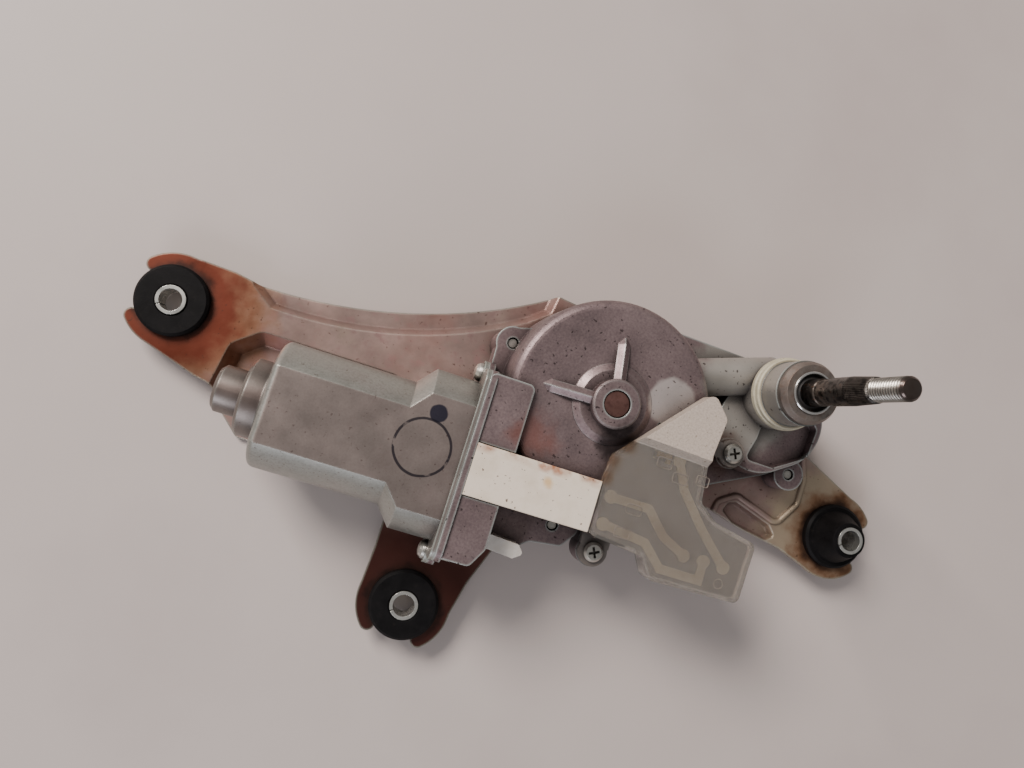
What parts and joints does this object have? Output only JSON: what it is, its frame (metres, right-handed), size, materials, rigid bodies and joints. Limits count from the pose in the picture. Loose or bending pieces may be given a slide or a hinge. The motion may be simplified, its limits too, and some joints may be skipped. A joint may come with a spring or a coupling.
{
  "type": "rear wiper motor assembly",
  "caption": "Tailgate wiper motor with worm gearbox, crank linkage, threaded output shaft, plug socket and a rubber-mounted steel bracket.",
  "frame": {"origin": "on the output shaft's axis, in the middle of the plain seat that takes the wiper arm", "axes": "+Z out along the output shaft, +X along the motor from its closed end to the gearbox, +Y completes the frame"},
  "size_m": [0.3153, 0.1513, 0.111],
  "materials": {
    "zinc_plated_bracket": "yellow zinc plated sheet steel, rust near the mounts",
    "rubber_mount": "matt black",
    "zinc_sleeve": "bright zinc",
    "diecast_housing": "as-cast",
    "pressed_cover": "zinc plated",
    "zinc_screw": "zinc",
    "yoke_steel": "zinc plated, satin",
    "ferrite": "dull",
    "sintered_bronze": "oiled",
    "ground_steel": "ground",
    "laminated_steel": "dark",
    "enamelled_copper": "enamelled",
    "commutator_copper": "turned",
    "holder_plastic": "moulded",
    "brush_carbon": "dull",
    "spring_steel": "bright",
    "bearing_steel": "polished",
    "acetal_gear": "moulded",
    "contact_brass": "stamped",
    "axle_steel": "stained",
    "link_steel": "zinc plated",
    "wiper_shaft_steel": "greasy, bright thread",
    "pivot_cap_metal": "spotted",
    "seal_rubber": "matt black",
    "ring_chrome": "polished",
    "cream_plastic": "moulded",
    "tray_plastic": "moulded",
    "clouded_plastic": "translucent, clouded",
    "strip_plastic": "moulded, stained",
    "white_plastic": "moulded"
  },
  "bodies": {
    "base": {"bracket": "zinc_plated_bracket", "grommet_left": "rubber_mount", "grommet_lower": "rubber_mount", "grommet_right": "rubber_mount", "sleeve_left": "zinc_sleeve", "sleeve_lower": "zinc_sleeve", "sleeve_right": "zinc_sleeve", "gear_housing": "diecast_housing", "rear_cover": "pressed_cover", "rear_cover_screws": "zinc_screw", "bracket_screws": "zinc_screw", "tray_screws": "zinc_screw", "motor_yoke": "yoke_steel", "yoke_screws": "zinc_screw", "magnets": "ferrite", "yoke_bearing": "sintered_bronze", "front_bearing": "sintered_bronze", "rear_bearing": "sintered_bronze", "brush_holder": "holder_plastic", "brushes": "brush_carbon", "brush_springs": "spring_steel", "thrust_ball": "bearing_steel", "wheel_axle": "axle_steel", "wheel_clip": "spring_steel", "lower_bush": "sintered_bronze", "upper_bush": "sintered_bronze", "barrel_cap": "pivot_cap_metal", "shaft_seal": "seal_rubber", "snap_ring": "ring_chrome", "pivot_collar": "cream_plastic", "terminal_tray": "tray_plastic", "busbars": "contact_brass", "connector_pins": "contact_brass", "contact_fingers": "contact_brass", "terminal_cover": "clouded_plastic", "lead_cover": "strip_plastic", "leads": "contact_brass", "breather": "white_plastic"},
    "armature": {"armature_shaft": "ground_steel", "armature_core": "laminated_steel", "windings": "enamelled_copper", "commutator": "commutator_copper"},
    "wheel": {"worm_wheel": "acetal_gear", "crank_pin": "axle_steel", "contact_disc": "contact_brass"},
    "output": {"output_shaft": "wiper_shaft_steel", "output_lever": "link_steel", "link_pin": "axle_steel"},
    "rod": {"connecting_rod": "link_steel"}
  },
  "joints": [
    {"name": "armature_spin", "type": "hinge", "parent": "base", "child": "armature", "pos_m": [-0.16, -0.0626, -0.048], "axis": [1, 0, 0], "continuous": true},
    {"name": "wheel_spin", "type": "hinge", "parent": "base", "child": "wheel", "pos_m": [-0.068, -0.026, -0.048], "axis": [0, 0, 1], "continuous": true},
    {"name": "output_swing", "type": "hinge", "parent": "base", "child": "output", "pos_m": [0, 0, -0.034], "axis": [0, 0, 1], "range_deg": [-50, 50]},
    {"name": "rod_swing", "type": "hinge", "parent": "output", "child": "rod", "pos_m": [0.00624, -0.01635, -0.06325], "axis": [0, 0, 1], "range_deg": [-50, 50]}
  ],
  "couplings": [
    {"joint": "wheel_spin", "follows": "armature_spin", "ratio": 0.016667},
    {"joint": "rod_swing", "follows": "output_swing", "ratio": -1}
  ]
}
